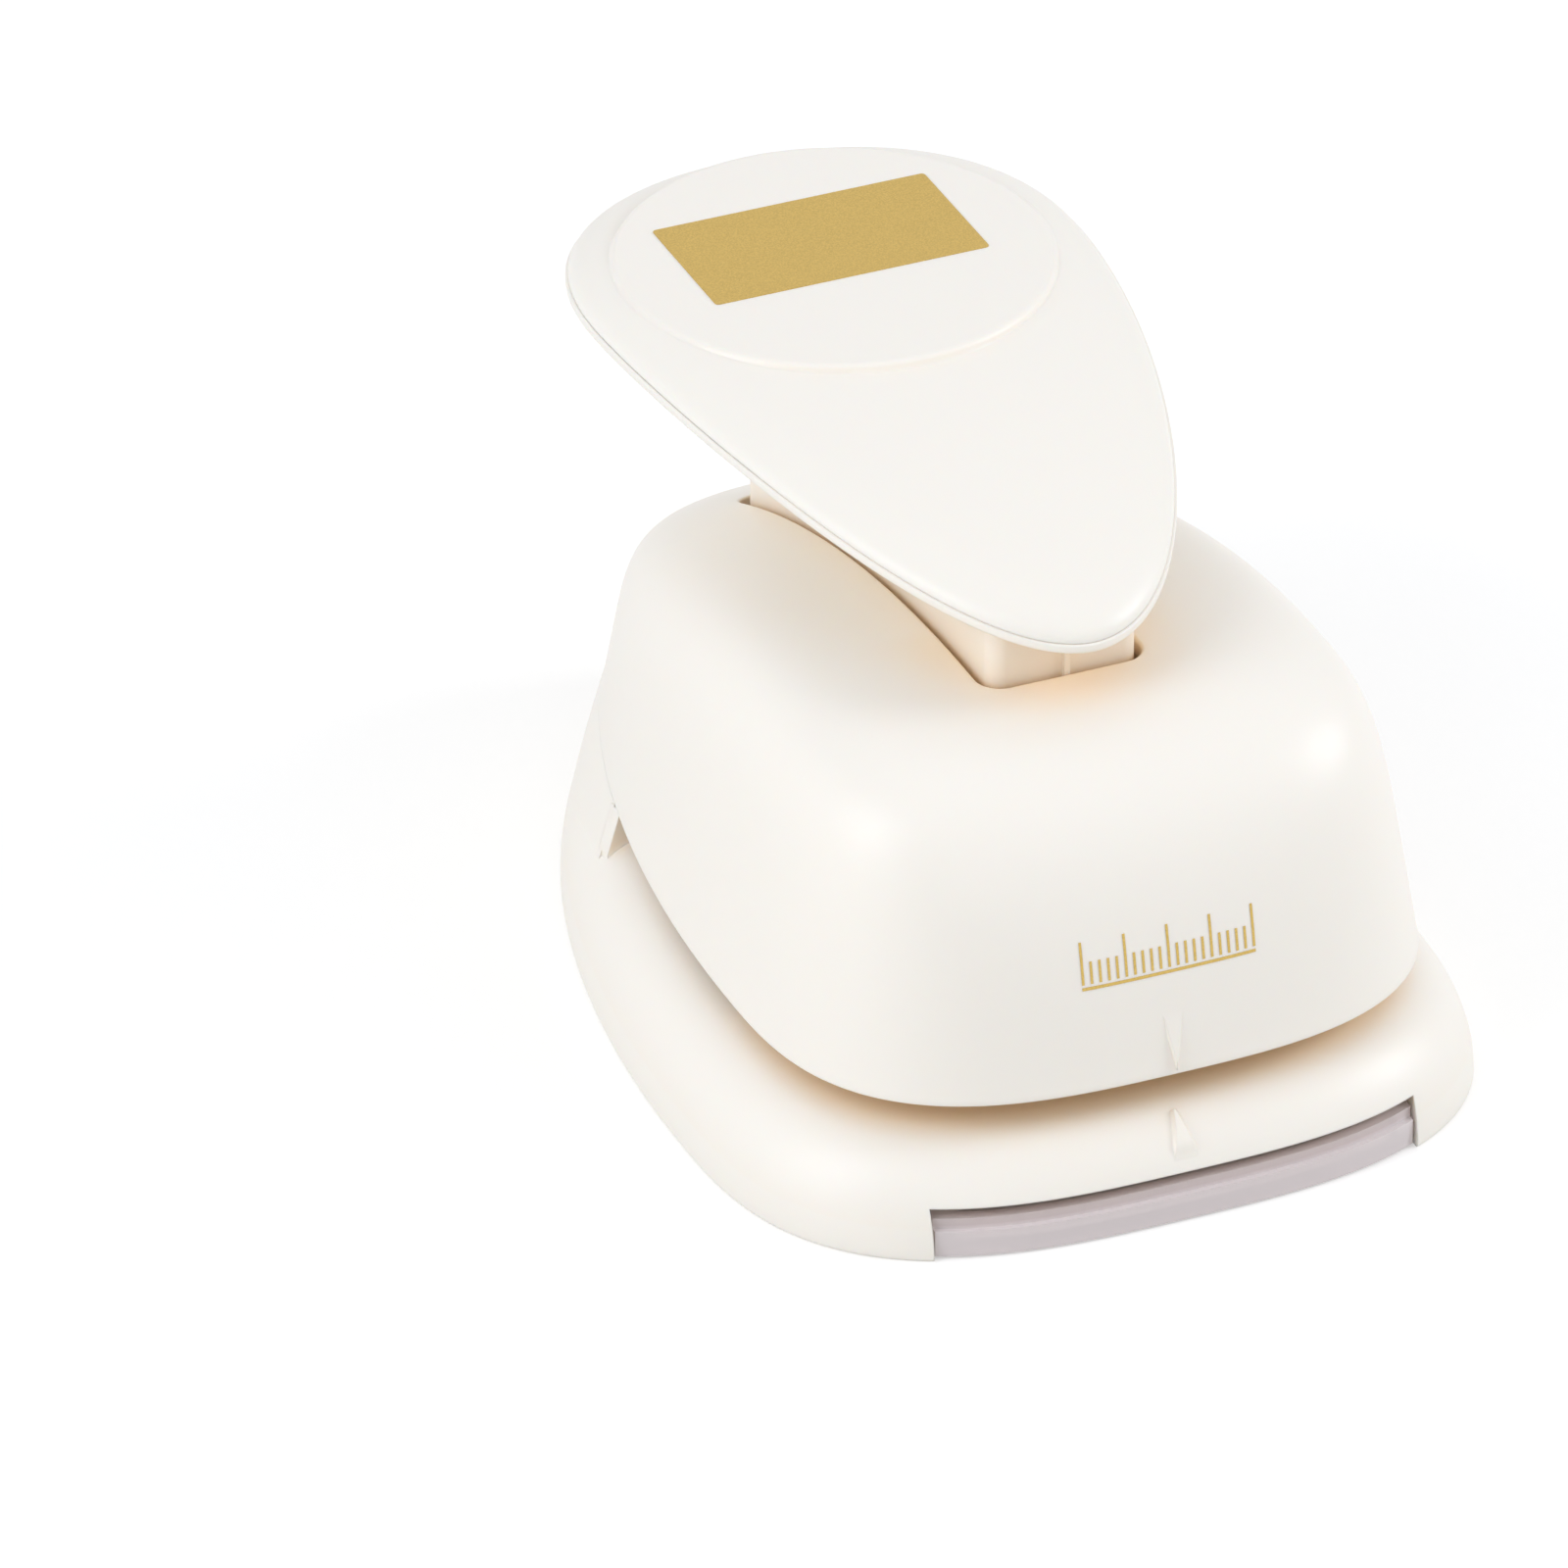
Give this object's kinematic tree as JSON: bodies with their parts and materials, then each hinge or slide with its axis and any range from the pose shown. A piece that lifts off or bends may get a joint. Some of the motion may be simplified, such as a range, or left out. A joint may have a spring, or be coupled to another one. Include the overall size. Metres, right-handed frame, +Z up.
{
  "type": "lever craft punch",
  "caption": "Desk lever punch in ivory plastic: a dome housing on a wide base, a wide press lever, a steel die set that cuts a rectangle from card, and a clear chip tray.",
  "frame": {"origin": "on the table, under the middle of the cut, which is the middle of the part's box", "axes": "+Z up, -Y to the front where card goes in, +X to the right seen from the front"},
  "size_m": [0.1106, 0.1554, 0.0868],
  "materials": {
    "ivory_plastic": "satin",
    "gold_foil": "satin foil",
    "clear_plastic": "clear gloss",
    "plate_steel": "ground",
    "pin_steel": "bright",
    "zinc": "die cast",
    "spring_steel": "drawn wire",
    "screw_steel": "zinc plated"
  },
  "bodies": {
    "frame": {"base_shell": "ivory_plastic", "upper_housing": "ivory_plastic", "throat_plate": "ivory_plastic", "pivot_pin": "pin_steel", "pin_clips": "spring_steel", "die_plate": "plate_steel", "guide_plate": "plate_steel", "plate_spacer": "plate_steel", "plate_rivets": "pin_steel", "guide_pins": "pin_steel", "spring_front_left": "spring_steel", "spring_front_right": "spring_steel", "spring_rear_left": "spring_steel", "spring_rear_right": "spring_steel", "housing_screws": "screw_steel"},
    "lever": {"lever_body": "ivory_plastic", "lever_cover": "ivory_plastic", "foil_label": "gold_foil", "lever_screws": "screw_steel", "press_pin": "pin_steel"},
    "punch": {"punch_block": "zinc", "punch_head": "zinc", "wear_plate": "plate_steel", "head_screws": "screw_steel"},
    "tray": {"chip_tray": "clear_plastic"}
  },
  "joints": [
    {"name": "lever_press", "type": "hinge", "parent": "frame", "child": "lever", "pos_m": [0, -0.0275, 0.0521], "axis": [-1, 0, 0], "range_deg": [0, 16], "stiffness_Nm_per_rad": 1.2, "springref_deg": -20.05},
    {"name": "punch_slide", "type": "slide", "parent": "frame", "child": "punch", "axis": [0, 0, -1], "range_m": [0, 0.0076], "deforming": ["spring_front_left", "spring_front_right", "spring_rear_left", "spring_rear_right"]},
    {"name": "tray_slide", "type": "slide", "parent": "frame", "child": "tray", "axis": [0, -1, 0], "range_m": [0, 0.06]}
  ],
  "couplings": [
    {"joint": "punch_slide", "follows": "lever_press", "m_per_rad": 0.0269}
  ]
}
